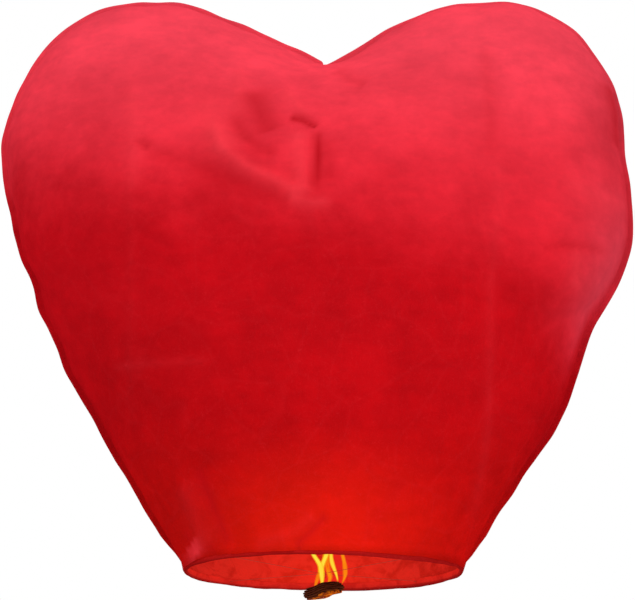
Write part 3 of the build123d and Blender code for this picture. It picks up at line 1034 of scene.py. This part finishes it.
def bamboo():
    """Split bamboo: long pale fibres, a few dark ones, and a node here and there."""
    material, web = new_material("split_bamboo")
    laid, along = round_the_hoop(web)
    grain = web.noise(laid, (12, 900, 900), 4, 0.6)
    streak = web.noise(laid, (4, 260, 260), 2, 0.5)
    tint = web.ramp(web.plus(web.times(grain, 0.6), web.times(streak, 0.4)), BAMBOO)
    knot = web.off_half(web.maths("FRACT", web.maths("DIVIDE", along, BAMBOO_NODES)))
    knot = web.spread(knot, 0, 0.006, 1, 0)
    web.skin(web.mixed(web.times(knot, 0.6), tint, BAMBOO_DARK), web.varied(grain, 0.45, 0.7))
    web.bump((grain, 0.12 * MM), (knot, 0.3 * MM))
    return material


def thread():
    """Cotton thread wound up and down round the hoop's lap, one turn beside the other."""
    material, web = new_material("cotton_thread")
    laid, _ = round_the_hoop(web)
    look = {"Vector": laid, "Scale": 630, "Distortion": 0.6, "Detail": 1, "Detail Scale": 0.5}
    turns = web.add("TexWave", look, bands_direction="X").outputs["Fac"]
    ply = web.noise(laid, (2600, 700, 700), 3, 0.6)
    tint = web.mixed(turns, THREAD_DARK, THREAD_LIGHT)
    web.skin(web.mixed(web.times(ply, 0.4), tint, THREAD_PLY), web.varied(ply, 0.75, 0.95))
    web.bump((turns, 0.18 * MM), (ply, 0.05 * MM))
    return material


def iron_wire():
    """Annealed iron wire: a dull oxide skin, browner and bluer in patches, and draw marks."""
    material, web = new_material("annealed_wire")
    where, across, _, height = web.where()
    patch = web.noise(where, 120, 4, 0.6)
    fine = web.noise(where, 2600, 3, 0.6)
    tint = web.toned(web.ramp(patch, OXIDE), fine, *USUAL_NOISE, 0.75, 1.2)
    # Painted glow of the flame's light on the wire, given as its own emission.
    lit = web.flame_glow(across, height, INSIDE_REACH)
    web.skin(tint, web.varied(fine, 0.48, 0.75), 0.05, web.mixed(lit, UNLIT, WIRE_LIGHT))
    web.put(web.surface, {"Metallic": web.spread(patch, 0.35, 0.7, 0.55, 0.2)})
    web.bump((fine, 0.03 * MM), (patch, 0.05 * MM))
    return material


def fuel_paper():
    """Waxed paper, brown with wax, charred at its edges and glowing where it still burns."""
    material, web = new_material("waxed_paper")
    where, across, _, height = web.where()
    wide = web.noise(where, 90, 4, 0.6, 0.4)
    fine = web.noise(where, 700, 4, 0.65)
    burnt = web.plus(web.attribute("burnt"), web.times(wide, 0.5))
    char = web.spread(burnt, 0.55, 1.1)
    tint = web.mixed(char, web.ramp(wide, WAXED), CHARRED)
    ash = web.spread(web.plus(burnt, web.times(fine, 0.5)), 1.45, 1.7)
    tint = web.mixed(web.times(ash, 0.12), tint, ASH)
    # Embers run along the underside and the right-hand edge, in broken lines.
    ember = web.noise(where, 150, 3, 0.55, 0.8)
    under = web.spread(web.minus(web.times(across, 0.3), height), 0.029, 0.035)
    live = web.times(web.spread(ember, 0.44, 0.56), under)
    hot = web.mixed(web.spread(ember, 0.5, 0.66), EMBER_DULL, EMBER_BRIGHT)
    roughness = web.spread(char, 0, 1, 0.45, 0.9)
    web.skin(web.mixed(live, tint, EMBER_BED), roughness, 0, web.mixed(live, UNLIT, hot))
    web.bump((wide, 0.8 * MM), (fine, 0.25 * MM))
    return material


def flame():
    """Flame: yellow where it is hot, orange at its edges and tip, thinning out upwards."""
    material, web = new_material("flame")
    where = web.where()[0]
    rise, core, warmth = (web.attribute(name) for name in ("rise", "core", "warmth"))
    flicker = web.noise(where, (160, 160, 50), 2, 0.5)
    warm = web.times(warmth, web.spread(core, 0, 1, 0.55, 1))
    warm = web.plus(warm, web.times(flicker, 0.4))
    warm = web.minus(warm, web.spread(rise, 0.5, 1, 0.2, 0.8))
    solid = web.times(
        web.spread(core, 0, 1, 0.38, 1),
        web.spread(warmth, 0, 0.6, 0.5, 1),
        web.spread(rise, 0.72, 1, 1, 0),
        web.spread(rise, 0, 0.12),
    )
    web.skin(UNLIT, 0.5, 0, web.ramp(warm, FIRE))
    web.put(web.surface, {"Alpha": solid})
    return material


# ---- stage
def in_scene(name, data):
    made = bpy.data.objects.new(name, data)
    bpy.context.scene.collection.objects.link(made)
    return made


def camera():
    lens = bpy.data.cameras.new("camera")
    lens.sensor_width = SENSOR
    lens.lens = LENS
    lens.clip_end = 60
    seen = in_scene("camera", lens)
    seen.location = EYE
    seen.rotation_euler = (radians(90 + EYE_LIFT), 0, 0)
    bpy.context.scene.camera = seen


def lamp(name, direction, strength, softness):
    """A soft, distant white lamp that shines from a direction; strength is its level on a face."""
    light = bpy.data.lights.new(name, "SUN")
    light.energy = strength
    light.angle = radians(softness)
    holder = in_scene(name, light)
    holder.location = 3 * Vector(direction).normalized()
    holder.rotation_euler = Vector(direction).to_track_quat("Z", "Y").to_euler()


def world():
    """A white sky, a little dimmer as the light that falls on the lantern than it is to see."""
    sky = bpy.data.worlds.new("world")
    bpy.context.scene.world = sky
    sky.use_nodes = True
    web = Web(sky.node_tree)
    rays = web.add("LightPath").outputs
    seen = web.chain("MAXIMUM", *(rays[f"Is {kind} Ray"] for kind in ("Camera", "Glossy", "Transmission")))
    level = web.add("MapRange", {"Value": seen, "To Min": SKY_LIGHT, "To Max": 1}).outputs[0]
    web.put(web.nodes["Background"], {"Color": (1, 1, 1), "Strength": level})


def floor():
    deselect()
    bpy.ops.mesh.primitive_plane_add(size=40, location=(0, 0, FLOOR_HEIGHT))
    ground = new_piece("floor")
    material, web = new_material("pale_floor")
    web.skin((0.8, 0.8, 0.8), 0.9)
    # Seen from below, the floor lets the object be seen through it.
    web.blend(web.add("NewGeometry").outputs["Backfacing"], web.add("BsdfTransparent"))
    ground.data.materials.append(material)


# ---- build
def paint(obj, material):
    obj.data.materials.clear()
    obj.data.materials.append(material)


def dress(obj, material, body, slot, *nodes):
    """Gives a piece its material and its body, in place of the CAD nodes it stands for; its slot is not used.
    """
    paint(obj, material)
    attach(obj, body)
    if nodes:
        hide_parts(*nodes)


camera()
world()
floor()
for light in LAMPS:
    lamp(*light)

tissue = tissue_group()
strip = rim_strip()
dress(strip, rim_paper(tissue), "envelope", "rim_paper", "rim_band")
paper = red_paper(tissue, crumple_group())
for name, side, folds, laps, seed, panel in (
    ("front_sheet", -1, FRONT_FOLDS, FRONT_LAP, 100, "front_panel"),
    ("back_sheet", 1, BACK_FOLDS, BACK_LAP, 200, "back_panel"),
):
    face = paper_face(name, side, folds, laps, seed)
    dress(face, paper, "envelope", "red_paper", panel)

burning = fuel_paper()
for number in range(len(LAYER_LEFT)):
    dress(pad_layer(number), burning, "fuel_cell", "fuel_paper", f"fuel_layer_{number + 1}")
fire = flame()
for number, tongue in enumerate(FLAMES):
    dress(flame_tongue(number, *tongue), fire, "fuel_cell", None)

looks = {"bamboo_hoop": bamboo(), "hoop_bindings": thread()}
looks.update(dict.fromkeys(("cross_wire_a", "cross_wire_b", "hanging_link", "cell_wire"), iron_wire()))
for name, material in looks.items():
    paint(bpy.data.objects[name], material)

bpy.context.scene.view_settings.view_transform = "Standard"
